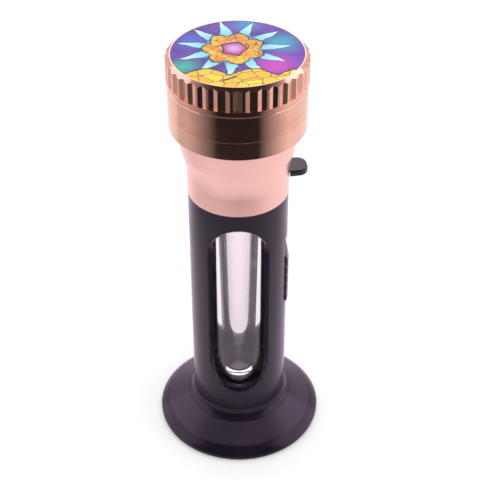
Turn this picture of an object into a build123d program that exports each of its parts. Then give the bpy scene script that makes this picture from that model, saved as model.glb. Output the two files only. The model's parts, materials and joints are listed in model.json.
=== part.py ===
from build123d import *
import math
import os

# Hand grinder with a window body and a glass storage tube.
# Millimetres. +Z is up, -Y is the front with the main window, +X is the side with the thumb slider
# and the lever. The origin is the centre of the underside, on the surface that the grinder stands on.
# The head and its metal parts are turned about Z, so most outlines are (radius, height) points.
# A name that ends in _Z or _X holds (low, high), and one that ends in _R is a radius.

# ---- driving dimensions ----

FRONT = -90.0             # direction of the front, in degrees from +X
SLIP = 0.05               # gap in running fits and pockets
EASE = 0.25               # gap between parts that are lifted past each other

# Base
BASE_R = 33.0             # widest radius
BASE_BOTTOM = 0.5         # the rubber foot stands this far proud of the base
RIM_TOP = 1.8             # top of the upright rim
BROW_R = 29.4             # where the rounded rim meets the sloping top
SLOPE = 0.61              # rise of the sloping top for each millimetre inwards
SLOPE_END = (21.3, 10.0)  # lower end of the fillet into the collar
COLLAR_TOP = 19.0
BASE_FLOOR_Z = (17.5, 20.0)   # the floor that closes the collar
BASE_HOLLOW = ((24.6, 2.3), (24.6, 5.0), (19.5, 8.2), (16.0, 12.5), (16.0, 17.5))
SPIGOT_R = 15.3           # spigot that the body tube slips over
SPIGOT_BORE = 13.7
SPIGOT_TOP = 23.5
FOOT_R = (31.0, 28.0)     # outer and inner
FOOT_TOP = 1.7
COVER_R = 26.4
COVER_Z = (0.7, 2.3)
COVER_SCREW_CIRCLE = 20.0
COVER_SCREW_COUNT = 3
COVER_HEAD_R = 1.9
COVER_HEAD_TOP = 1.6
COVER_SHANK_R = 0.9
COVER_SHANK_TOP = 6.6
COVER_BOSS_R = 2.4
COVER_BOSS_TOP = 8.6

# Body tube and its windows
BODY_R = 18.7
BODY_BORE = 15.5
BODY_TOP = 113.1
BODY_SPIGOT_R = 17.0
BODY_SPIGOT_TOP = 116.6
WINDOW_HALF_WIDTH = 9.6   # straight part of the opening
WINDOW_Z = (26.0, 105.4)
BEVEL_HALF_WIDTH = 15.24  # end radius of the bevelled outline where it crosses the tube's front
BEVEL_Z = (24.9, 106.5)
BEVEL_SLOPE = 0.864       # how fast the bevelled outline shrinks on its way in
BEVEL_DEPTH = 6.5

# Clear liner that glazes both windows
LINER_BORE = 14.4
LINER_Z = (23.8, 112.6)
LINER_SLOT_BOTTOM = 65.5  # slot for the slider's arm, open at the top

# Glass tube and what holds it
GLASS_FOOT_R = (6.4, 4.2)     # outer and inner radius at the closed end
GLASS_MOUTH_R = (7.8, 5.9)
GLASS_Z = (20.9, 102.0)
GLASS_FLOOR = 2.2
GLASS_FOOT_ROUND = 1.3
PUNT_R = (4.9, 4.3)       # shallow hollow under the foot, at its mouth and at its top
PUNT_DEPTH = 0.5
SEAT_LIP = 1.2
SEAT_LIP_WALL = 1.1
COLLAR_R = 9.6
COLLAR_BORE = 5.9
COLLAR_Z = (99.6, 103.7)
SEAL_Z = (102.15, 102.9)
SEAL_BORE = 6.1

# Thumb slider
RECESS_Z = (61.2, 92.4)
RECESS_FLOOR_X = 17.3
PAD_Z = (61.6, 84.0)
PAD_HALF_WIDTH = 5.0
PAD_TOP_X = 19.5
PAD_EDGE = 0.4            # plain strip below the first ridge and above the last
RIDGE_COUNT = 5
RIDGE_HEIGHT = 0.95
RIDGE_RAMP = 0.5          # rise of a ridge's steep side
RIDGE_CREST = 0.4
STEM_Z = (70.0, 76.0)
STEM_HALF_WIDTH = 1.9
SLIDER_TRAVEL = 8.0
ARM_X = (13.4, 15.0)
ARM_Z = (66.0, 102.4)
ARM_HALF_WIDTH = 3.0
BRIDGE_X = (8.0, 15.0)
BRIDGE_Z = (100.2, 102.4)
SLIDER_HEAD_R = 2.0
SLIDER_HEAD = 1.2         # height of the screw's head
SLIDER_SHANK_R = 0.9
SLIDER_SHANK_END = 17.0

# Neck
NECK_R = 18.78
NECK_FLARE_START = 120.5
NECK_FLARE_END = (20.58, 131.0)
NECK_TOP = (22.17, 141.5)
NECK_WALL = 1.8
BAND_R = 24.84
BAND_BORE = 22.85
SEAM_Z = 148.14           # the chamber unscrews here
WEB_Z = (121.3, 123.8)    # inner web that carries the spout insert
WEB_BORE = 11.0

# Funnel, gate and spout
FUNNEL_LEDGE = 143.0      # shelf that the funnel's rim rests on
FUNNEL_RIM_R = 22.6
FUNNEL_RIM = 1.0
FUNNEL_MOUTH_R = 20.1
FUNNEL_FOOT_R = 9.9
FUNNEL_WALL = 1.2
PLATE_Z = (121.4, 122.6)  # fixed plate with sector openings
PLATE_R = 10.7
HUB_R = 3.0
HUB_TOP = 124.2
SECTOR_COUNT = 4
SECTOR_SPAN = 38.0
SECTOR_R = (3.0, 8.6)
GATE_R = 11.3
GATE_Z = (118.6, 121.0)
GATE_SWING = 45.0
PIVOT_R = 1.5
PIVOT_HEAD_R = 2.6
PIVOT_HEAD_Z = (117.35, 118.45)
PIVOT_THREAD_R = 1.0
PIVOT_TOP = 123.4
LEVER_ANGLE = 9.0         # from +X towards the back, with the gate shut
LEVER_Z = (118.5, 121.0)
LEVER_R = (19.05, 25.7)
LEVER_HALF_WIDTH = 4.6
LEVER_CORNER = 3.6
LEVER_EDGE = 0.5
BLADE_END = 23.4          # reach of the gate's arm into the lever
BLADE_HALF_WIDTH = 2.5
BLADE_Z = (119.1, 120.5)
SLOT_GAP = 0.4            # all round the arm where it leaves the neck
SPOUT_FLANGE_Z = (116.9, 118.4)
SPOUT_FLANGE_R = 16.85
SPOUT_FUNNEL_TOP_R = 9.5
SPOUT_FUNNEL_FOOT_Z = 113.2
SPOUT_R = 4.2
SPOUT_BORE = 3.3
SPOUT_BOTTOM = 102.7
SPACER_CIRCLE = 13.4
SPACER_ANGLES = (-30, 90, 210)
SPACER_R = 1.7
SPACER_BORE = 1.1
SPOUT_HEAD = 1.0
SPOUT_SHANK_R = 0.9
SPOUT_SHANK_TOP = 123.4
WEB_HOLE_R = 0.95

# Grinding head
CHAMBER_TOP = 158.05
CHAMBER_BORE = 20.8
CHAMBER_LOWER_R = 22.7
CHAMBER_BOTTOM = 144.2
CHAMBER_SPIGOT_R = 22.4
CHAMBER_SPIGOT_TOP = 163.6
CHAMBER_FLOOR_Z = (149.6, 151.2)
BAND_EDGE = 0.15          # chamfer on the edges of the bands
TOOTH_HALF_DEPTH = 1.25
TOOTH_HALF_LENGTH = 1.9
TOOTH_GAP = 1.0           # between the tips of the teeth and what they face
CHAMBER_TEETH = ((12.3, 9), (19.1, 16))   # (circle radius, count)
LID_TEETH = ((8.9, 6), (15.7, 12))
SIEVE_HOLES = ((8.9, 8), (15.7, 16))
SIEVE_HOLE_R = 1.8
POST_R = 5.2
POST_TOP = 162.2
MAGNET_R = 4.0
MAGNET_THICK = 2.5
MAGNET_GAP = 0.3
SLIP_RING_TOP = 163.0
SLIP_FLANGE_R = 24.3
LID_R = 25.0
LID_BOTTOM = 158.4
LID_TOP = 169.2
LID_BORE = 23.0
LID_BORE_TOP = 163.8
LID_INNER_R = 21.5
LID_ROOF_Z = (165.4, 168.65)
CHAMFER_BOTTOM = 167.95
RIM_R = 23.4              # inner edge of the lid's top chamfer
LABEL_R = 23.0
LABEL_TOP = 169.17
KNURL_COUNT = 38
KNURL_BOTTOM = 160.4
KNURL_WIDTH = 3.4         # V grooves with narrow lands between them
KNURL_DEPTH = 0.65


# ---- helpers ----

def turned(*edges):
    """Solid of revolution about Z from an outline in the (radius, height) half plane."""
    outline = Curve() + list(edges)
    return revolve(make_face(Plane.XZ * outline), Axis.Z)


def turned_points(*points):
    """Solid of revolution about Z from straight (radius, height) runs."""
    return revolve(make_face(Plane.XZ * Polyline(*points, close=True)), Axis.Z)


def ring(outer, inner, low, high):
    """Flat ring about Z."""
    return turned_points((inner, low), (outer, low), (outer, high), (inner, high))


def pillar(radius, low, high):
    """Upright cylinder on Z."""
    return turned_points((0, low), (radius, low), (radius, high), (0, high))


def block(x, y, z):
    """Box from its (low, high) limits on each axis."""
    size = [high - low for low, high in (x, y, z)]
    middle = [(high + low) / 2 for low, high in (x, y, z)]
    return Pos(*middle) * Box(*size)


def both_sides(half_width):
    return -half_width, half_width


def evenly(count, start=0.0):
    """Angles that share a full turn equally."""
    return [start + 360.0 * index / count for index in range(count)]


def around(radius, angles):
    """Places on a circle about Z, each turned to face outwards."""
    return [Rot(0, 0, angle) * Pos(radius, 0, 0) for angle in angles]


def polar(radius, angle):
    return radius * math.cos(math.radians(angle)), radius * math.sin(math.radians(angle))


def sector(radii, start, stop, low, high):
    """Upright prism between two radii and two angles."""
    inner, outer = radii
    middle = (start + stop) / 2
    outline = Curve() + [
        Line(polar(inner, start), polar(outer, start)),
        ThreePointArc(polar(outer, start), polar(outer, middle), polar(outer, stop)),
        Line(polar(outer, stop), polar(inner, stop)),
        ThreePointArc(polar(inner, stop), polar(inner, middle), polar(inner, start)),
    ]
    return Pos(0, 0, low) * extrude(make_face(outline), high - low)


def sector_openings(low, high, turn=0.0):
    """Cutters for the gate's openings."""
    half = SECTOR_SPAN / 2
    return [sector(SECTOR_R, angle - half, angle + half, low, high)
            for angle in evenly(SECTOR_COUNT, turn)]


def slotted_screw(head_r, head_z, shank_r, shank_top):
    """Upright screw, head down, with a driver slot half as deep as the head."""
    slot_half_width = 0.25
    head_low, head_high = head_z
    screw = pillar(head_r, *head_z) + pillar(shank_r, head_high, shank_top)
    slot_z = (head_low, (head_low + head_high) / 2)
    return screw - block(both_sides(head_r), both_sides(slot_half_width), slot_z)


# ---- base ----

def base_flange():
    """Flared base, hollow under, with a floored collar and the body's spigot."""
    slope_start = (BROW_R, SLOPE_END[1] - (BROW_R - SLOPE_END[0]) * SLOPE)
    inward = (SLOPE_END[0] - slope_start[0], SLOPE_END[1] - slope_start[1])
    outward = (-inward[0], -inward[1])
    fillet_angle = math.atan2(-inward[0], inward[1])
    fillet_top = SLOPE_END[1] + (SLOPE_END[0] - BODY_R) / math.tan(fillet_angle / 2)
    base = turned(
        Polyline((0, COLLAR_TOP), (0, BASE_BOTTOM), (BASE_R, BASE_BOTTOM), (BASE_R, RIM_TOP)),
        TangentArc(slope_start, (BASE_R, RIM_TOP), tangent=outward),
        Line(slope_start, SLOPE_END),
        TangentArc(SLOPE_END, (BODY_R, fillet_top), tangent=inward),
        Polyline((BODY_R, fillet_top), (BODY_R, COLLAR_TOP), (0, COLLAR_TOP)),
    )
    base += pillar(SPIGOT_R, COLLAR_TOP, SPIGOT_TOP)
    base -= pillar(SPIGOT_BORE, BASE_FLOOR_Z[1], SPIGOT_TOP)
    base -= turned_points((0, COVER_Z[1]), *BASE_HOLLOW, (0, BASE_FLOOR_Z[0]))
    base -= pillar(COVER_R + SLIP, BASE_BOTTOM, COVER_Z[1])
    base -= ring(*FOOT_R, BASE_BOTTOM, FOOT_TOP)
    for place in around(COVER_SCREW_CIRCLE, evenly(COVER_SCREW_COUNT, -FRONT)):
        base += place * pillar(COVER_BOSS_R, COVER_Z[1], COVER_BOSS_TOP)
        base -= place * pillar(COVER_SHANK_R + SLIP, COVER_Z[1], COVER_SHANK_TOP + EASE)
    return base


def base_cover():
    disc = pillar(COVER_R, *COVER_Z)
    for place in around(COVER_SCREW_CIRCLE, evenly(COVER_SCREW_COUNT, -FRONT)):
        disc -= place * pillar(COVER_SHANK_R + EASE, *COVER_Z)
        disc -= place * pillar(COVER_HEAD_R + EASE, COVER_Z[0], COVER_HEAD_TOP)
    return disc


def cover_screws():
    """Screws let into the underside of the cover."""
    screw = slotted_screw(COVER_HEAD_R, (COVER_Z[0] + SLIP, COVER_HEAD_TOP), COVER_SHANK_R, COVER_SHANK_TOP)
    return Compound([place * screw
                     for place in around(COVER_SCREW_CIRCLE, evenly(COVER_SCREW_COUNT, -FRONT))])


def foot_ring():
    outer, inner = FOOT_R
    return ring(outer - SLIP, inner + SLIP, 0, FOOT_TOP)


def tube_seat():
    """Soft pad with a low lip round the glass tube's foot."""
    lip_bore = GLASS_FOOT_R[0] + EASE
    pad = pillar(SPIGOT_BORE - SLIP, BASE_FLOOR_Z[1], GLASS_Z[0])
    return pad + ring(lip_bore + SEAT_LIP_WALL, lip_bore, GLASS_Z[0], GLASS_Z[0] + SEAT_LIP)


def glass_tube():
    """Slightly tapered tube with a hollowed, round-edged foot and a fire-rounded mouth."""
    bore_round, mouth_round = 2.0, 0.8
    low, high = GLASS_Z
    outer_foot, inner_foot = GLASS_FOOT_R
    outer_mouth, inner_mouth = GLASS_MOUTH_R
    tube = turned_points((0, low), (outer_foot, low), (outer_mouth, high), (0, high))
    tube = fillet(tube.edges().group_by(Axis.Z)[0], GLASS_FOOT_ROUND)
    bore = turned_points((0, low + GLASS_FLOOR), (inner_foot, low + GLASS_FLOOR),
                         (inner_mouth, high), (0, high))
    bore = fillet(bore.edges().group_by(Axis.Z)[0], bore_round)
    tube -= bore
    tube -= turned_points((0, low), (PUNT_R[0], low), (PUNT_R[1], low + PUNT_DEPTH),
                          (0, low + PUNT_DEPTH))
    return fillet(tube.edges().group_by(Axis.Z)[-1], mouth_round)


# ---- body ----

def stadium(half_width, low, high, y):
    """Upright outline with round ends, facing the front at this y."""
    plane = Plane((0, y, (low + high) / 2), x_dir=(1, 0, 0), z_dir=(0, -1, 0))
    return plane * SlotCenterToCenter(high - low - 2 * half_width, 2 * half_width, rotation=90)


def window_shape():
    """Front window: a straight opening, bevelled on the outside."""
    beyond = 0.5
    face_y = -BODY_R
    grow, shrink = beyond * BEVEL_SLOPE, BEVEL_DEPTH * BEVEL_SLOPE
    low, high = BEVEL_Z
    straight = extrude(stadium(WINDOW_HALF_WIDTH, *WINDOW_Z, face_y - beyond), -BODY_R)
    outer = stadium(BEVEL_HALF_WIDTH + grow, low - grow, high + grow, face_y - beyond)
    inner = stadium(BEVEL_HALF_WIDTH - shrink, low + shrink, high - shrink, face_y + BEVEL_DEPTH)
    return straight + loft([outer, inner], ruled=True)


def body_tube():
    """Tube with a window front and back, and the slider's recess and slot on the +X side."""
    tube = ring(BODY_R, BODY_BORE, COLLAR_TOP, BODY_TOP)
    tube += ring(BODY_SPIGOT_R, BODY_BORE, BODY_TOP, BODY_SPIGOT_TOP)
    window = window_shape()
    tube -= window
    tube -= Rot(0, 0, 180) * window
    outside = BODY_R + 1
    tube -= block((RECESS_FLOOR_X, outside), both_sides(PAD_HALF_WIDTH + EASE), RECESS_Z)
    slot_z = (STEM_Z[0] - EASE, STEM_Z[1] + SLIDER_TRAVEL + EASE)
    tube -= block((ARM_X[1], outside), both_sides(STEM_HALF_WIDTH + EASE), slot_z)
    return tube


def window_liner():
    """Clear sleeve in the tube's bore that closes both windows, slotted for the slider's arm."""
    liner = ring(BODY_BORE - SLIP, LINER_BORE, *LINER_Z)
    slot_x = (LINER_BORE - 1, BODY_BORE)
    return liner - block(slot_x, both_sides(ARM_HALF_WIDTH + EASE), (LINER_SLOT_BOTTOM, LINER_Z[1]))


def ridge_outline():
    """Side view of the pad, (x, z), with sawtooth ridges that are steep on their lower side."""
    back, root = RECESS_FLOOR_X + 2 * SLIP, PAD_TOP_X - RIDGE_HEIGHT
    low, high = PAD_Z
    pitch = (high - low - 2 * PAD_EDGE) / RIDGE_COUNT
    outline = [(back, low), (root, low), (root, low + PAD_EDGE)]
    for index in range(RIDGE_COUNT):
        foot = low + PAD_EDGE + pitch * index
        crest = foot + RIDGE_RAMP
        outline += [(PAD_TOP_X, crest), (PAD_TOP_X, crest + RIDGE_CREST), (root, foot + pitch)]
    return outline + [(root, high), (back, high)]


def screw_path(radius, start, end):
    """Level cylinder along +X at the height of the slider's screw."""
    length = end - start
    return Pos((start + end) / 2, 0, sum(STEM_Z) / 2) * Rot(0, 90, 0) * Cylinder(radius, length)


def thumb_slider():
    """Ridged pad, and the stem that runs through the tube wall."""
    side = make_face(Plane.XZ * Polyline(*ridge_outline(), close=True))
    pad = extrude(side, PAD_HALF_WIDTH, both=True)
    pad &= pillar(PAD_TOP_X, *PAD_Z)
    stem_start = ARM_X[1]
    pad += block((stem_start, RECESS_FLOOR_X + 2 * SLIP), both_sides(STEM_HALF_WIDTH), STEM_Z)
    return pad - screw_path(SLIDER_SHANK_R + SLIP, stem_start, SLIDER_SHANK_END + EASE)


def slider_carriage():
    """Arm inside the tube wall, and the collar it carries round the glass tube's mouth."""
    carriage = block(ARM_X, both_sides(ARM_HALF_WIDTH), ARM_Z)
    carriage += block(BRIDGE_X, both_sides(ARM_HALF_WIDTH), BRIDGE_Z)
    carriage += pillar(COLLAR_R, *COLLAR_Z)
    carriage -= pillar(GLASS_MOUTH_R[0] + EASE, COLLAR_Z[0], SEAL_Z[1])
    carriage -= pillar(COLLAR_BORE, *COLLAR_Z)
    return carriage - screw_path(SLIDER_SHANK_R + 2 * SLIP, *ARM_X)


def mouth_seal():
    return ring(GLASS_MOUTH_R[0] + EASE - SLIP, SEAL_BORE, *SEAL_Z)


def slider_screw():
    """Screw from inside the carriage's arm into the stem, with a round driver socket."""
    socket_r, socket_depth = 0.8, 0.7
    head_start, head_end = ARM_X[0] - SLIDER_HEAD, ARM_X[0]
    screw = screw_path(SLIDER_HEAD_R, head_start, head_end)
    screw += screw_path(SLIDER_SHANK_R, head_end, SLIDER_SHANK_END)
    return screw - screw_path(socket_r, head_start, head_start + socket_depth)


# ---- neck ----

def neck_housing():
    """Satin neck with the lower band, the web for the spout insert and the lever slot."""
    foot, flare = (NECK_R, NECK_FLARE_START), NECK_FLARE_END
    outer = turned(
        Polyline((0, FUNNEL_LEDGE), (0, BODY_TOP), (NECK_R, BODY_TOP), foot),
        TangentArc(foot, flare, tangent=(0, 1)),
        Line(flare, NECK_TOP),
        Polyline(NECK_TOP, (NECK_TOP[0], FUNNEL_LEDGE), (0, FUNNEL_LEDGE)),
    )
    outer += pillar(BAND_R, NECK_TOP[1], SEAM_Z)
    inner_foot_r = NECK_R - NECK_WALL
    inner_top_r = NECK_TOP[0] - NECK_WALL
    cavity = turned_points(
        (0, WEB_Z[1]), (inner_foot_r, WEB_Z[1]), (inner_foot_r + 0.4, 126.0),
        (flare[0] - NECK_WALL, flare[1]), (inner_top_r, NECK_TOP[1]),
        (inner_top_r, FUNNEL_LEDGE), (0, FUNNEL_LEDGE))
    housing = outer - cavity
    housing -= pillar(BAND_BORE, FUNNEL_LEDGE, SEAM_Z)
    housing -= pillar(BODY_SPIGOT_R + 2 * SLIP, BODY_TOP, WEB_Z[0])
    housing -= pillar(WEB_BORE, *WEB_Z)
    for place in around(SPACER_CIRCLE, SPACER_ANGLES):
        housing -= place * pillar(WEB_HOLE_R, *WEB_Z)
    return housing - lever_slot()


def lever_slot():
    """Slot through the neck wall for the gate's arm, over its whole swing."""
    end_angle = math.degrees(math.asin((BLADE_HALF_WIDTH + SLOT_GAP) / BODY_SPIGOT_R))
    return sector((BODY_SPIGOT_R - 1, NECK_R + 1), LEVER_ANGLE - end_angle,
                  LEVER_ANGLE + GATE_SWING + end_angle, BLADE_Z[0] - SLOT_GAP, BLADE_Z[1] + SLOT_GAP)


def funnel_insert():
    """Funnel under the chamber, ending in the fixed sector plate."""
    plate_low, plate_high = PLATE_Z
    rim_top = FUNNEL_LEDGE + FUNNEL_RIM
    funnel = turned_points(
        (0, plate_low), (PLATE_R, plate_low), (PLATE_R, plate_high), (FUNNEL_FOOT_R, plate_high),
        (FUNNEL_MOUTH_R, FUNNEL_LEDGE), (FUNNEL_RIM_R, FUNNEL_LEDGE), (FUNNEL_RIM_R, rim_top),
        (0, rim_top))
    funnel -= turned_points(
        (0, plate_high), (FUNNEL_FOOT_R - FUNNEL_WALL, plate_high),
        (FUNNEL_MOUTH_R - FUNNEL_WALL / 2, rim_top), (0, rim_top))
    funnel += pillar(HUB_R, plate_low, HUB_TOP)
    for cutter in sector_openings(*PLATE_Z):
        funnel -= cutter
    return funnel - pillar(PIVOT_THREAD_R + SLIP, plate_low, PIVOT_TOP + EASE)


def gate_pivot():
    """Shoulder screw under the sector plate that the gate turns on."""
    screw = slotted_screw(PIVOT_HEAD_R, PIVOT_HEAD_Z, PIVOT_R, PLATE_Z[0])
    return screw + pillar(PIVOT_THREAD_R, PLATE_Z[0], PIVOT_TOP)


def gate_disc():
    """Turning disc with openings between those of the fixed plate, and the lever's arm."""
    disc = ring(GATE_R, PIVOT_R + SLIP, *GATE_Z)
    for cutter in sector_openings(*GATE_Z, turn=GATE_SWING):
        disc -= cutter
    arm = block((GATE_R - 1.5, BLADE_END), both_sides(BLADE_HALF_WIDTH), BLADE_Z)
    return disc + Rot(0, 0, LEVER_ANGLE) * arm


def lever_tab():
    """Rounded finger tab pressed over the end of the gate's arm."""
    low, high = LEVER_Z
    inner, outer = LEVER_R
    tab = block((inner - 2, outer), both_sides(LEVER_HALF_WIDTH), LEVER_Z)
    tab = fillet(tab.edges().filter_by(Axis.Z).group_by(Axis.X)[-1], LEVER_CORNER)
    tab = fillet(tab.edges().group_by(Axis.Z)[-1], LEVER_EDGE)
    tab = fillet(tab.edges().group_by(Axis.Z)[0], LEVER_EDGE)
    tab -= pillar(inner, low, high)
    tab -= block((0, BLADE_END + SLIP), both_sides(BLADE_HALF_WIDTH + SLIP),
                 (BLADE_Z[0] - SLIP, BLADE_Z[1] + SLIP))
    return Rot(0, 0, LEVER_ANGLE) * tab


def spout_insert():
    """Lower funnel whose spout ends over the glass tube's mouth."""
    low, high = SPOUT_FLANGE_Z
    shoulder_r, shoulder_z = SPOUT_FUNNEL_TOP_R + 1.1, SPOUT_FUNNEL_FOOT_Z - 1.0
    insert = turned_points(
        (SPOUT_FUNNEL_TOP_R, high), (SPOUT_FLANGE_R, high), (SPOUT_FLANGE_R, low), (shoulder_r, low),
        (SPOUT_R, shoulder_z), (SPOUT_R, SPOUT_BOTTOM), (SPOUT_BORE, SPOUT_BOTTOM),
        (SPOUT_BORE, SPOUT_FUNNEL_FOOT_Z))
    for place in around(SPACER_CIRCLE, SPACER_ANGLES):
        insert += place * pillar(SPACER_R, high, WEB_Z[0])
        insert -= place * pillar(SPACER_BORE, low, WEB_Z[0])
    return insert


def spout_screws():
    head_z = (SPOUT_FLANGE_Z[0] - SPOUT_HEAD, SPOUT_FLANGE_Z[0])
    screw = slotted_screw(SPACER_R, head_z, SPOUT_SHANK_R, SPOUT_SHANK_TOP)
    return Compound([place * screw for place in around(SPACER_CIRCLE, SPACER_ANGLES)])


# ---- grinding head ----

def diamond_teeth(rings, low, high):
    """Upright diamond pins on circles about Z."""
    outline = Polyline((-TOOTH_HALF_DEPTH, 0), (0, -TOOTH_HALF_LENGTH),
                       (TOOTH_HALF_DEPTH, 0), (0, TOOTH_HALF_LENGTH), close=True)
    tooth = Pos(0, 0, low) * extrude(make_face(outline), high - low)
    return [place * tooth for radius, count in rings for place in around(radius, evenly(count))]


def grind_chamber():
    """Band, sieve floor, centre post, teeth and the spigots above and below."""
    floor_low, floor_high = CHAMBER_FLOOR_Z
    chamber = turned_points(
        (0, CHAMBER_BOTTOM), (CHAMBER_LOWER_R, CHAMBER_BOTTOM), (CHAMBER_LOWER_R, SEAM_Z),
        (BAND_R - BAND_EDGE, SEAM_Z), (BAND_R, SEAM_Z + BAND_EDGE),
        (BAND_R, CHAMBER_TOP - BAND_EDGE), (BAND_R - BAND_EDGE, CHAMBER_TOP),
        (CHAMBER_SPIGOT_R, CHAMBER_TOP), (CHAMBER_SPIGOT_R, CHAMBER_SPIGOT_TOP), (0, CHAMBER_SPIGOT_TOP))
    chamber -= pillar(CHAMBER_BORE, floor_high, CHAMBER_SPIGOT_TOP)
    chamber -= pillar(CHAMBER_BORE, CHAMBER_BOTTOM, floor_low)
    chamber += pillar(POST_R, floor_high, POST_TOP)
    chamber -= pillar(MAGNET_R + SLIP, POST_TOP - MAGNET_THICK, POST_TOP)
    for tooth in diamond_teeth(CHAMBER_TEETH, floor_high, LID_ROOF_Z[0] - TOOTH_GAP):
        chamber += tooth
    for radius, count in SIEVE_HOLES:
        for place in around(radius, evenly(count)):
            chamber -= place * pillar(SIEVE_HOLE_R, *CHAMBER_FLOOR_Z)
    return chamber


def chamber_magnet():
    return pillar(MAGNET_R, POST_TOP - MAGNET_THICK, POST_TOP)


def slip_ring():
    """Low-friction ring between the chamber's upper spigot and the lid."""
    low, bore = CHAMBER_TOP + SLIP, CHAMBER_SPIGOT_R + SLIP
    return ring(LID_BORE - SLIP, bore, low, SLIP_RING_TOP) + ring(SLIP_FLANGE_R, bore, low, LID_BOTTOM - SLIP)


def knurl_cutter():
    """V groove on the +X side, open at the lid's top."""
    overshoot = 1.0
    half = KNURL_WIDTH / 2 * (KNURL_DEPTH + overshoot) / KNURL_DEPTH
    outline = Polyline((LID_R - KNURL_DEPTH, 0), (LID_R + overshoot, -half),
                       (LID_R + overshoot, half), close=True)
    return Pos(0, 0, KNURL_BOTTOM) * extrude(make_face(outline), LID_TOP - KNURL_BOTTOM + overshoot)


def lid():
    """Knurled cap with the upper teeth, the magnet's boss and a recess for the label."""
    roof_low, roof_high = LID_ROOF_Z
    boss_bottom = POST_TOP + MAGNET_GAP
    cap = turned_points(
        (0, LID_BOTTOM), (LID_R - BAND_EDGE, LID_BOTTOM), (LID_R, LID_BOTTOM + BAND_EDGE),
        (LID_R, CHAMFER_BOTTOM), (RIM_R, LID_TOP), (0, LID_TOP))
    cap -= pillar(LABEL_R + SLIP, roof_high, LID_TOP)
    cap -= pillar(LID_BORE, LID_BOTTOM, LID_BORE_TOP)
    cap -= pillar(LID_INNER_R, LID_BORE_TOP, roof_low)
    cap += pillar(POST_R, boss_bottom, roof_low)
    cap -= pillar(MAGNET_R + SLIP, boss_bottom, boss_bottom + MAGNET_THICK)
    for tooth in diamond_teeth(LID_TEETH, CHAMBER_FLOOR_Z[1] + TOOTH_GAP, roof_low):
        cap += tooth
    groove = knurl_cutter()
    for angle in evenly(KNURL_COUNT, FRONT):
        cap -= Rot(0, 0, angle) * groove
    return cap


def lid_magnet():
    bottom = POST_TOP + MAGNET_GAP
    return pillar(MAGNET_R, bottom, bottom + MAGNET_THICK)


def label_disc():
    return pillar(LABEL_R, LID_ROOF_Z[1], LABEL_TOP)


# ---- output ----

PARTS = (
    base_flange, base_cover, cover_screws, foot_ring, tube_seat, glass_tube,
    body_tube, window_liner, thumb_slider, slider_carriage, mouth_seal, slider_screw,
    neck_housing, funnel_insert, gate_pivot, gate_disc, lever_tab, spout_insert, spout_screws,
    grind_chamber, chamber_magnet, slip_ring, lid, lid_magnet, label_disc,
)

os.makedirs("parts", exist_ok=True)
for make in PARTS:
    export_step(make(), f"parts/{make.__name__}.step")
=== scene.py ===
import json
import math

import bpy
from mathutils import Euler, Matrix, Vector


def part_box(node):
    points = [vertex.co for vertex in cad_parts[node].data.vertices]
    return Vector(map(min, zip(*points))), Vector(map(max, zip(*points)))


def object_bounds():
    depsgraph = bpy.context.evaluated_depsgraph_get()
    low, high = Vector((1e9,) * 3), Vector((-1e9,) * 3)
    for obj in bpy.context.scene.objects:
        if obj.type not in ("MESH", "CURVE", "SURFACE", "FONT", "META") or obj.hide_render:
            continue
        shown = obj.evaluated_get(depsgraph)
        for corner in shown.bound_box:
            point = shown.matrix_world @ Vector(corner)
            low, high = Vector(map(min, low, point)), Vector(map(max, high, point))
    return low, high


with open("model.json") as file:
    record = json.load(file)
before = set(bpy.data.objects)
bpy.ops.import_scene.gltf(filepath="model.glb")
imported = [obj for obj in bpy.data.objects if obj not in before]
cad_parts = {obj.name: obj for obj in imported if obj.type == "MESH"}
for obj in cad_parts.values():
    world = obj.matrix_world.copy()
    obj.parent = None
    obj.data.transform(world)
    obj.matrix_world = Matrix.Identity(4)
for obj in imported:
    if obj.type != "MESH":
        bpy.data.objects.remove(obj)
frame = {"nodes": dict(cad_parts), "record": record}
cad_low, cad_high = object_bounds()

MM = 0.001

# ---- camera ----

CAMERA_PLACE = Vector((0.0006, -0.3520, 0.3631))
CAMERA_DROP = math.radians(38.0)      # how far below level it looks
CAMERA_ROLL = math.radians(-0.2)
CAMERA_LENS = 87.4

# ---- driving height, read from the frame ----

neck_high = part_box("neck_housing")[1].z
BRIGHT_BAND = 6.64 * MM               # height of the polished band at the neck's top
band_step = neck_high - BRIGHT_BAND
STEP_MARGIN = 0.05 * MM               # the polish starts this far above the step


# ---- node helpers ----

class Value:
    """One number at each point of a material; arithmetic on it adds math nodes."""

    def __init__(self, tree, socket):
        self.tree = tree
        self.socket = socket

    def __add__(self, other):
        return self.tree.math("ADD", self, other)

    def __sub__(self, other):
        return self.tree.math("SUBTRACT", self, other)

    def __rsub__(self, other):
        return self.tree.math("SUBTRACT", other, self)

    def __mul__(self, other):
        return self.tree.math("MULTIPLY", self, other)

    def __neg__(self):
        return self * -1.0


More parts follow.
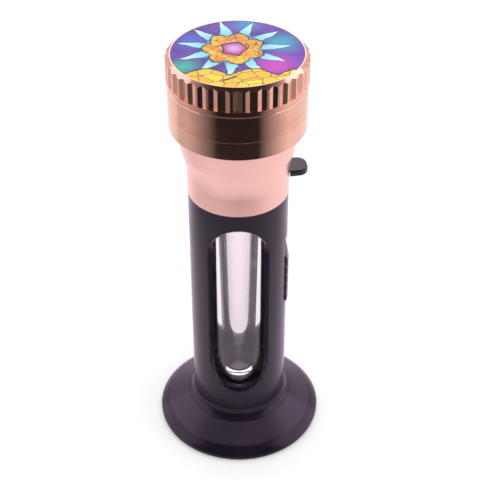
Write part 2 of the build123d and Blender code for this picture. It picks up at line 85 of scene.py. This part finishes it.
class Tree:
    """A material and short calls that add nodes to it and link them."""

    def __init__(self, name):
        self.material = bpy.data.materials.new(name)
        self.material.use_nodes = True
        self.tree = self.material.node_tree
        self.shader = self.tree.nodes["Principled BSDF"]
        self.place = self.add("ShaderNodeTexCoord").outputs["Object"]

    def add(self, kind, inputs=(), **settings):
        node = self.tree.nodes.new(kind)
        for name, value in settings.items():
            setattr(node, name, value)
        for name, value in dict(inputs).items():
            self.feed(node.inputs[name], value)
        return node

    def feed(self, socket, value):
        """Link a socket, or set it to a number, colour or vector."""
        if isinstance(value, Value):
            value = value.socket
        if isinstance(value, bpy.types.NodeSocket):
            self.tree.links.new(value, socket)
        else:
            socket.default_value = value

    def math(self, operation, first, second=0.0):
        node = self.add("ShaderNodeMath", operation=operation)
        for socket, value in zip(node.inputs, (first, second)):
            self.feed(socket, value)
        return Value(self, node.outputs[0])

    def axes(self):
        """The object's own x, y and z, in metres."""
        split = self.add("ShaderNodeSeparateXYZ", {"Vector": self.place}).outputs
        return [Value(self, split[axis]) for axis in "XYZ"]

    def scaled(self, x, y, z):
        """The object's coordinates, stretched by a factor on each axis."""
        node = self.add("ShaderNodeMapping", {"Vector": self.place, "Scale": (x, y, z)})
        return node.outputs["Vector"]

    def noise(self, scale, detail=3.0, roughness=0.5, vector=None, distortion=0.0):
        node = self.add("ShaderNodeTexNoise", {
            "Vector": vector or self.place, "Scale": scale, "Detail": detail,
            "Roughness": roughness, "Distortion": distortion})
        return Value(self, node.outputs["Fac"])

    def remap(self, value, low, high, to_low=0.0, to_high=1.0, smooth=False):
        node = self.add("ShaderNodeMapRange", {
            0: value, 1: low, 2: high, 3: to_low, 4: to_high},
            interpolation_type="SMOOTHSTEP" if smooth else "LINEAR")
        return Value(self, node.outputs["Result"])

    def mix(self, factor, first, second):
        node = self.add("ShaderNodeMix", data_type="RGBA")
        self.feed(node.inputs["Factor"], factor)
        self.feed(node.inputs[6], first)
        self.feed(node.inputs[7], second)
        return node.outputs[2]

    def bump(self, height, strength, distance, normal=None):
        node = self.add("ShaderNodeBump", {
            "Height": height, "Strength": strength, "Distance": distance})
        if normal is not None:
            self.feed(node.inputs["Normal"], normal)
        return node.outputs["Normal"]

    def soft_edges(self, radius):
        return self.add("ShaderNodeBevel", {"Radius": radius}, samples=6).outputs["Normal"]

    def set(self, **values):
        """Set or link the main shader's sockets; underscores stand for spaces."""
        for name, value in values.items():
            self.feed(self.shader.inputs[name.replace("_", " ")], value)


def rgb(red, green, blue):
    return (red, green, blue, 1.0)


# ---- materials ----

ROSE = rgb(0.74, 0.40, 0.32)
ROSE_DEEP = rgb(0.67, 0.33, 0.255)
ROSE_SATIN = rgb(0.85, 0.485, 0.44)
VIOLET_SHEEN = rgb(1.0, 0.80, 1.0)    # colour of reflections off the black and clear plastic
GLOSS_ROUGHNESS = 0.1                 # of the bevels round the windows
BEVEL_REACH = 18.5 * MM               # the bevels lie nearer the axis than this
TURNING_PITCH = 0.16 * MM
FOOT_FADE = (2.6 * MM, 1.6 * MM)      # the glass tube's dark foot comes in between these heights


def turned_lines(tree, pitch, spread=0.35):
    """Height of fine lathe lines that run round Z, uneven from line to line."""
    height = tree.axes()[2]
    row = tree.add("ShaderNodeTexNoise", {
        "W": height * (1.0 / pitch), "Scale": 1.0, "Detail": 2.0, "Roughness": spread},
        noise_dimensions="1D")
    return Value(tree, row.outputs["Fac"])


def rose_polished():
    """Bright rose-gold anodising over fine turning lines."""
    tree = Tree("rose_polished")
    lines = turned_lines(tree, TURNING_PITCH)
    smears = tree.noise(90.0, detail=4.0, vector=tree.scaled(1.0, 1.0, 3.0))
    edges = tree.soft_edges(0.12 * MM)
    tree.set(
        Base_Color=tree.mix(tree.remap(smears, 0.3, 0.7), ROSE, ROSE_DEEP),
        Metallic=1.0,
        Roughness=tree.remap(smears, 0.25, 0.75, 0.07, 0.15),
        Normal=tree.bump(lines, 0.25, 0.004 * MM, edges),
    )
    return tree.material


def rose_satin():
    """Bead-blasted neck; the band above the step is turned bright."""
    tree = Tree("rose_satin")
    height = tree.axes()[2]
    bright = tree.math("GREATER_THAN", height, band_step + STEP_MARGIN)
    dull = 1.0 - bright
    blast = tree.noise(9000.0, detail=2.0)
    clouds = tree.noise(45.0, detail=3.0)
    lines = turned_lines(tree, TURNING_PITCH)
    satin_rough = tree.remap(clouds, 0.2, 0.8, 0.26, 0.33, smooth=True)
    edges = tree.soft_edges(0.15 * MM)
    tree.set(
        Base_Color=tree.mix(bright, ROSE_SATIN, ROSE),
        Metallic=1.0,
        Roughness=satin_rough * dull + bright * 0.10,
        Normal=tree.bump(blast * dull + lines * bright, 0.35, 0.006 * MM, edges),
    )
    return tree.material


def rose_inner():
    tree = Tree("rose_inner")
    clouds = tree.noise(140.0, detail=3.0)
    tree.set(
        Base_Color=tree.mix(clouds, ROSE, ROSE_DEEP),
        Metallic=1.0,
        Roughness=tree.remap(clouds, 0.2, 0.8, 0.22, 0.34),
        Normal=tree.bump(turned_lines(tree, 0.3 * MM), 0.3, 0.01 * MM),
    )
    return tree.material


def black_plastic(name, roughness, grain_scale, gloss_within=0.0):
    """Moulded black plastic with a fine sparked grain and handling marks; its up-facing slopes are painted
    lighter, a painted highlight standing in for light from above.

    Faces nearer the axis than gloss_within are polished.
    """
    tree = Tree(name)
    x, y, _ = tree.axes()
    satin = tree.math("GREATER_THAN", tree.math("SQRT", x * x + y * y), gloss_within)
    grain = tree.noise(grain_scale, detail=3.0, roughness=0.6) * satin
    wear = tree.noise(60.0, detail=5.0, roughness=0.6)
    edges = tree.soft_edges(0.2 * MM)
    facing = tree.add("ShaderNodeNewGeometry").outputs["Normal"]
    upward = tree.add("ShaderNodeSeparateXYZ", {"Vector": facing}).outputs["Z"]
    # painted light: faces that look upwards are mixed towards a lighter colour, standing in for light from
    # above, made uneven by the wear noise
    dust_and_painted_top_light = tree.remap(upward, 0.81, 0.85, smooth=True) * tree.remap(wear, 0.2, 0.8, 0.8, 1.1)
    clean = tree.mix(tree.remap(wear, 0.35, 0.75), rgb(0.007, 0.0045, 0.0095),
                     rgb(0.012, 0.008, 0.016))
    tree.set(
        # the last colour is the painted light of the up-facing slopes
        Base_Color=tree.mix(dust_and_painted_top_light, clean, rgb(0.034, 0.025, 0.039)),
        Roughness=tree.remap(wear, 0.3, 0.7, roughness - 0.04, roughness + 0.05) * satin
        + (1.0 - satin) * GLOSS_ROUGHNESS,
        IOR=1.34,
        Specular_Tint=VIOLET_SHEEN,
        Coat_Weight=1.0,
        Coat_IOR=1.03,
        Coat_Roughness=0.2,
        Coat_Tint=rgb(1.0, 0.93, 0.995),
        Normal=tree.bump(grain, 0.35, 0.01 * MM, edges),
    )
    return tree.material


def gloss_black():
    tree = Tree("gloss_black")
    flow = tree.noise(70.0, detail=2.0)
    tree.set(
        Base_Color=tree.mix(flow, rgb(0.012, 0.008, 0.013), rgb(0.020, 0.014, 0.021)),
        Roughness=tree.remap(flow, 0.3, 0.7, 0.18, 0.26),
        IOR=1.38,
        Specular_Tint=VIOLET_SHEEN,
        Normal=tree.bump(tree.noise(900.0), 0.15, 0.006 * MM, tree.soft_edges(0.25 * MM)),
    )
    return tree.material


def clear_plastic():
    """Clear moulded acrylic with faint flow lines down its length."""
    tree = Tree("clear_plastic")
    flow = tree.noise(700.0, detail=3.0, vector=tree.scaled(1.0, 1.0, 0.03))
    haze = tree.noise(70.0, detail=4.0)
    tree.set(
        Base_Color=rgb(0.98, 0.93, 0.975),
        Roughness=tree.remap(haze, 0.4, 0.8, 0.0, 0.04),
        IOR=1.49,
        Specular_Tint=VIOLET_SHEEN,
        Transmission_Weight=1.0,
        Normal=tree.bump(flow, 0.12, 0.02 * MM),
    )
    return tree.material


def clear_glass():
    """Clear glass with faint smears; its thick foot is darker and a little scuffed."""
    tree = Tree("clear_glass")
    smears = tree.noise(55.0, detail=5.0, roughness=0.65, vector=tree.scaled(1.0, 1.0, 0.35))
    foot_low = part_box("glass_tube")[0].z
    foot = tree.remap(tree.axes()[2], foot_low + FOOT_FADE[0], foot_low + FOOT_FADE[1], smooth=True)
    # painted shade: the glass's colour turns dark where its surface turns away from view, darkening its
    # outlines
    turned_away = tree.add("ShaderNodeLayerWeight", {"Blend": 0.5}).outputs["Facing"]
    edge = tree.remap(turned_away, 0.5, 0.95, 0.0, 0.92, smooth=True)
    wall = tree.mix(edge, rgb(0.96, 0.93, 0.955), rgb(0.08, 0.075, 0.085))
    tree.set(
        Base_Color=tree.mix(foot, wall, rgb(0.50, 0.45, 0.51)),
        Roughness=tree.remap(smears, 0.45, 0.8, 0.0, 0.03) + foot * 0.12,
        IOR=1.47,
        Specular_Tint=VIOLET_SHEEN,
        Transmission_Weight=1.0,
    )
    return tree.material


def rubber(name, colour, lighter):
    tree = Tree(name)
    dust_and_painted_top_light = tree.noise(220.0, detail=4.0)
    tree.set(
        Base_Color=tree.mix(tree.remap(dust_and_painted_top_light, 0.4, 0.8), colour, lighter),
        Roughness=tree.remap(dust_and_painted_top_light, 0.3, 0.7, 0.6, 0.78),
        Normal=tree.bump(tree.noise(3000.0), 0.4, 0.01 * MM),
    )
    return tree.material


def slip_plastic():
    tree = Tree("slip_plastic")
    clouds = tree.noise(120.0, detail=3.0)
    tree.set(
        Base_Color=tree.mix(clouds, rgb(0.78, 0.76, 0.70), rgb(0.86, 0.85, 0.80)),
        Roughness=tree.remap(clouds, 0.3, 0.7, 0.35, 0.5),
        Subsurface_Weight=0.15,
        Subsurface_Radius=(0.001, 0.001, 0.001),
        Normal=tree.bump(turned_lines(tree, 0.25 * MM), 0.2, 0.01 * MM),
    )
    return tree.material


def plain_metal(name, colour, darker, roughness):
    tree = Tree(name)
    scratches = tree.noise(400.0, detail=5.0, vector=tree.scaled(1.0, 4.0, 1.0))
    tree.set(
        Base_Color=tree.mix(scratches, colour, darker),
        Metallic=1.0,
        Roughness=tree.remap(scratches, 0.3, 0.7, roughness - 0.05, roughness + 0.08),
        Normal=tree.bump(scratches, 0.2, 0.006 * MM, tree.soft_edges(0.1 * MM)),
    )
    return tree.material


INK = rgb(0.018, 0.010, 0.055)
LINE = 0.022                          # half width of the drawn lines, in label radii
EDGE_BLUR = 0.004                     # a shape's edge fades this far to each side
WOBBLE = 0.09                         # how far noise bends the drawing
FLOWER_X, FLOWER_Y = -0.06, 0.12      # middle of the star and the flower, in label radii
STAR_RAYS = 11
GLOWS = (                             # x, y and reach in label radii, and colour
    (0.66, 0.30, 0.42, rgb(0.01, 0.30, 0.46)),
    (0.55, -0.40, 0.46, rgb(0.50, 0.03, 0.42)),
    (-0.78, -0.42, 0.34, rgb(0.02, 0.36, 0.30)),
    (0.12, 0.92, 0.36, rgb(0.02, 0.22, 0.46)),
    (-0.70, 0.35, 0.40, rgb(0.05, 0.08, 0.46)),
)


class Print(Tree):
    """A picture drawn in label radii from the disc's middle, each layer over the last."""

    def __init__(self, name, radius):
        super().__init__(name)
        x, y, _ = self.axes()
        wobble = self.noise(240.0, detail=3.0) - 0.5
        drift = self.noise(150.0, detail=2.0, vector=self.scaled(1.0, -1.0, 1.0)) - 0.5
        self.across = x * (1.0 / radius) + wobble * WOBBLE
        self.along = y * (1.0 / radius) + drift * WOBBLE
        self.middle = self.spread_from(FLOWER_X, FLOWER_Y)
        self.angle = self.math("ARCTAN2", self.along - FLOWER_Y, self.across - FLOWER_X)

    def spread_from(self, x, y):
        """Distance from a point."""
        across, along = self.across - x, self.along - y
        return self.math("SQRT", across * across + along * along)

    def petals(self, count, start=0.0):
        """Runs from 0 between the petals to 1 at their tips."""
        return self.math("PINGPONG", (self.angle + start) * (count / math.pi), 1.0)

    def stones(self, size, ground, lit, dark):
        """Cracked stone pattern: each cell a mix of two colours, with ink in the cracks."""
        cells = {"Vector": self.scaled(1.0, 1.15, 1.0), "Scale": size}
        cell = self.add("ShaderNodeTexVoronoi", cells)
        crack = self.add("ShaderNodeTexVoronoi", cells, feature="DISTANCE_TO_EDGE")
        tone = self.add("ShaderNodeSeparateColor", {"Color": cell.outputs["Color"]})
        shade = self.mix(tone.outputs["Red"], lit, dark)
        line = self.remap(crack.outputs["Distance"], 0.035, 0.015)
        return self.mix(line, self.mix(0.85, ground, shade), INK)

    def draw(self, edge, distance, colour):
        """Colour where the distance is less than the edge, and an ink line along the edge."""
        inside = self.remap(edge - distance, -EDGE_BLUR, EDGE_BLUR)
        line = self.remap(self.math("ABSOLUTE", edge - distance), LINE, LINE * 0.4)
        self.picture = self.mix(line, self.mix(inside, self.picture, colour), INK)


def draw_field(label):
    """Purple clouds and ink contours under soft coloured glows."""
    clouds = label.remap(label.noise(110.0, detail=3.0), 0.35, 0.65)
    picture = label.mix(clouds, rgb(0.050, 0.012, 0.22), rgb(0.13, 0.030, 0.38))
    swirl = label.math("PINGPONG", label.noise(95.0, detail=1.0, distortion=0.6) * 9.0, 1.0)
    picture = label.mix(label.remap(swirl, 0.09, 0.04) * 0.7, picture, INK)
    for x, y, reach, colour in GLOWS:
        glow = label.remap(label.spread_from(x, y), reach, 0.0, smooth=True)
        picture = label.mix(glow, picture, colour)
    label.picture = picture


def draw_star(label):
    """Pale crystal rays, lit on one side."""
    ray = label.petals(STAR_RAYS, 0.2)
    side = label.math("PINGPONG", label.angle * (STAR_RAYS / 2 / math.pi) + 0.35, 0.5)
    lit = label.math("GREATER_THAN", side, 0.25)
    crystal = label.mix(lit, rgb(0.07, 0.24, 0.58), rgb(0.20, 0.56, 0.72))
    tips = label.remap(label.middle, 0.50, 0.85)
    label.draw(ray * ray * 0.42 + 0.46, label.middle, label.mix(tips, crystal, rgb(0.58, 0.80, 0.88)))


def draw_flower(label):
    """Seven gold petals of stone round a magenta heart."""
    gold = label.mix(label.remap(label.middle, 0.22, 0.40), rgb(0.62, 0.10, 0.01), rgb(0.78, 0.50, 0.02))
    bloom = label.math("SQRT", label.petals(7)) * 0.14 + 0.35
    label.draw(bloom, label.middle, label.stones(330.0, gold, rgb(0.80, 0.50, 0.02), rgb(0.62, 0.13, 0.01)))
    core = label.petals(5, 0.6) * 0.05 + 0.16
    heart = label.mix(label.remap(label.middle, 0.03, 0.17), rgb(0.56, 0.34, 0.72), rgb(0.42, 0.02, 0.18))
    label.draw(core, label.middle, heart)


def draw_hills(label):
    """Rounded yellow stone hills along the near edge."""
    skyline = label.math("ABSOLUTE", label.math("SINE", label.across * 4.6 + 0.5)) * 0.17 - 0.66
    yellow = label.stones(210.0, rgb(0.78, 0.55, 0.02), rgb(0.82, 0.64, 0.05), rgb(0.72, 0.32, 0.01))
    label.draw(skyline, label.along, yellow)


def label_print():
    """Abstract print: a crystal star and a flower over a glowing purple field."""
    label = Print("label_print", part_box("label_disc")[1].x)
    draw_field(label)
    draw_star(label)
    draw_flower(label)
    draw_hills(label)
    label.set(
        Base_Color=label.picture,
        Roughness=label.remap(label.noise(60.0, detail=3.0), 0.3, 0.7, 0.22, 0.32),
        IOR=1.25,
    )
    return label.material


FLOOR_WHITE = 0.9


def floor_surface():
    tree = Tree("studio_floor")
    white = rgb(FLOOR_WHITE, FLOOR_WHITE, FLOOR_WHITE)
    tree.set(Base_Color=white, Roughness=0.6, Specular_IOR_Level=0.2)
    return tree.material


# ---- assign materials to the CAD nodes ----

FINISHES = {
    "rose_polished": rose_polished(),
    "rose_satin": rose_satin(),
    "rose_inner": rose_inner(),
    "black_body": black_plastic("black_body", roughness=0.21, grain_scale=5200.0,
                                gloss_within=BEVEL_REACH),
    "black_moulding": black_plastic("black_moulding", roughness=0.5, grain_scale=3500.0),
    "gloss_black": gloss_black(),
    "clear_glass": clear_glass(),
    "clear_plastic": clear_plastic(),
    "soft_pad": rubber("soft_pad", rgb(0.025, 0.022, 0.026), rgb(0.05, 0.046, 0.05)),
    "foot_rubber": rubber("foot_rubber", rgb(0.018, 0.018, 0.018), rgb(0.04, 0.04, 0.04)),
    "slip_plastic": slip_plastic(),
    "screw_steel": plain_metal("screw_steel", rgb(0.56, 0.56, 0.58), rgb(0.40, 0.40, 0.42), 0.3),
    "magnet": plain_metal("magnet", rgb(0.72, 0.72, 0.74), rgb(0.60, 0.60, 0.62), 0.16),
    "label_print": label_print(),
}

for entry in frame["record"]["subparts"]:
    node = frame["nodes"][entry["node"]]
    node.data.materials.clear()
    node.data.materials.append(FINISHES[entry["material_slot"]])


# ---- stage ----

FLOOR_REACH = 3.0
DARK_REACH = (0.182, 0.213)           # the card's black opens out over these distances from the axis,
NEAR_NARROWING = math.radians(86)     # from nothing to its whole angle
AHEAD_ANGLES = (math.radians(32), math.radians(86))   # black to the first, clear at the second
DEEPEST = 0.98                        # how near the black comes to no light at all
LEFT_FADE = (-0.12, -0.17)            # x over which the card turns grey on the left
LEFT_END = (0.12, 0.06)               # y over which that grey begins
LEFT_GREY = 0.28                      # how much darker it is there
CARD_LOW = (-0.8, -1.2)
CARD_HIGH = (0.8, LEFT_END[0])
CARD_LIFT = 0.2 * MM
OVERHEAD = (0.65, 0.92, 0.06)         # where up the sky the room starts to dim, where it stops, its least
BEHIND_CAMERA = (-0.1, -0.7, 0.12)    # the same along y, towards the camera
CLIP_START = 0.01


def sheet_of_floor(name, low, high, height, material):
    """Flat rectangle between two (x, y) corners."""
    mesh = bpy.data.meshes.new(name)
    corners = [(low[0], low[1], height), (high[0], low[1], height),
               (high[0], high[1], height), (low[0], high[1], height)]
    mesh.from_pydata(corners, [], [(0, 1, 2, 3)])
    mesh.materials.append(material)
    flat = bpy.data.objects.new(name, mesh)
    bpy.context.scene.collection.objects.link(flat)
    return flat


def softbox(name, place, target, width, height, power):
    light = bpy.data.lights.new(name, "AREA")
    light.shape = "RECTANGLE"
    light.size, light.size_y = width, height
    light.energy = power
    lamp = bpy.data.objects.new(name, light)
    lamp.location = place
    lamp.rotation_mode = "QUATERNION"
    lamp.rotation_quaternion = (Vector(target) - Vector(place)).to_track_quat("-Z", "Y")
    bpy.context.scene.collection.objects.link(lamp)
    return lamp


def room():
    """White walls all round, dim overhead and behind the camera."""
    world = bpy.data.worlds.new("studio")
    world.use_nodes = True
    nodes, links = world.node_tree.nodes, world.node_tree.links
    way = nodes.new("ShaderNodeSeparateXYZ")
    links.new(nodes.new("ShaderNodeTexCoord").outputs["Generated"], way.inputs["Vector"])

    def fade(axis, full, gone, least):
        ramp = nodes.new("ShaderNodeMapRange")
        ramp.interpolation_type = "SMOOTHSTEP"
        links.new(way.outputs[axis], ramp.inputs[0])
        for socket, value in zip(list(ramp.inputs)[1:5], (full, gone, 1.0, least)):
            socket.default_value = value
        return ramp.outputs["Result"]

    both = nodes.new("ShaderNodeMath")
    both.operation = "MULTIPLY"
    links.new(fade("Z", *OVERHEAD), both.inputs[0])
    links.new(fade("Y", *BEHIND_CAMERA), both.inputs[1])
    background = nodes["Background"]
    background.inputs["Color"].default_value = rgb(1.0, 0.99, 1.0)
    links.new(both.outputs[0], background.inputs["Strength"])
    bpy.context.scene.world = world


def card_shades():
    """Painted reflection: black ahead of the object and grey to its left, painted shade to be mirrored in
    the metal.
    """
    tree = Tree("card_shades")
    x, y, _ = tree.axes()
    reach = tree.math("SQRT", x * x + y * y)
    off_front = tree.math("ARCTAN2", tree.math("ABSOLUTE", x), -y)
    narrowed = off_front + tree.remap(reach, *DARK_REACH, NEAR_NARROWING, 0.0)
    ahead = tree.remap(narrowed, *AHEAD_ANGLES, DEEPEST, 0.0)
    left = tree.remap(x, *LEFT_FADE, smooth=True) * tree.remap(y, *LEFT_END, smooth=True)
    level = (1.0 - ahead) * (1.0 - left * LEFT_GREY) * FLOOR_WHITE
    tree.set(Base_Color=tree.mix(level, rgb(0.0, 0.0, 0.0), rgb(1.0, 1.0, 1.0)),
             Roughness=0.8, Specular_IOR_Level=0.1)
    return tree.material


def stage():
    """Pale floor, the card that only reflections show, four softboxes and the room."""
    sheet_of_floor("floor", (-FLOOR_REACH, -FLOOR_REACH), (FLOOR_REACH, FLOOR_REACH), 0.0,
                   floor_surface())
    card = sheet_of_floor("mirror_card", CARD_LOW, CARD_HIGH, CARD_LIFT, card_shades())
    card.visible_camera = False
    card.visible_diffuse = False
    card.visible_shadow = False
    centre = (cad_low + cad_high) / 2
    softbox("left_box", (-1.0, 0.1, 0.5), centre, 1.3, 1.1, 4.5)
    softbox("right_box", (1.0, 0.0, 0.5), centre, 1.3, 1.1, 6.5)
    softbox("back_box", (0.0, 1.1, 0.95), centre, 2.0, 1.0, 9.0)
    fill = softbox("fill_box", (0.0, -0.7, 1.1), centre, 1.4, 1.0, 9.0)
    fill.visible_glossy = False
    room()
    bpy.context.scene.view_settings.view_transform = "Standard"


def camera():
    data = bpy.data.cameras.new("camera")
    data.lens = CAMERA_LENS
    data.clip_start = CLIP_START
    eye = bpy.data.objects.new("camera", data)
    eye.location = CAMERA_PLACE
    eye.rotation_euler = Euler((math.pi / 2 - CAMERA_DROP, 0, 0))
    eye.rotation_euler.rotate_axis("Z", CAMERA_ROLL)
    bpy.context.scene.collection.objects.link(eye)
    bpy.context.scene.camera = eye


camera()
stage()
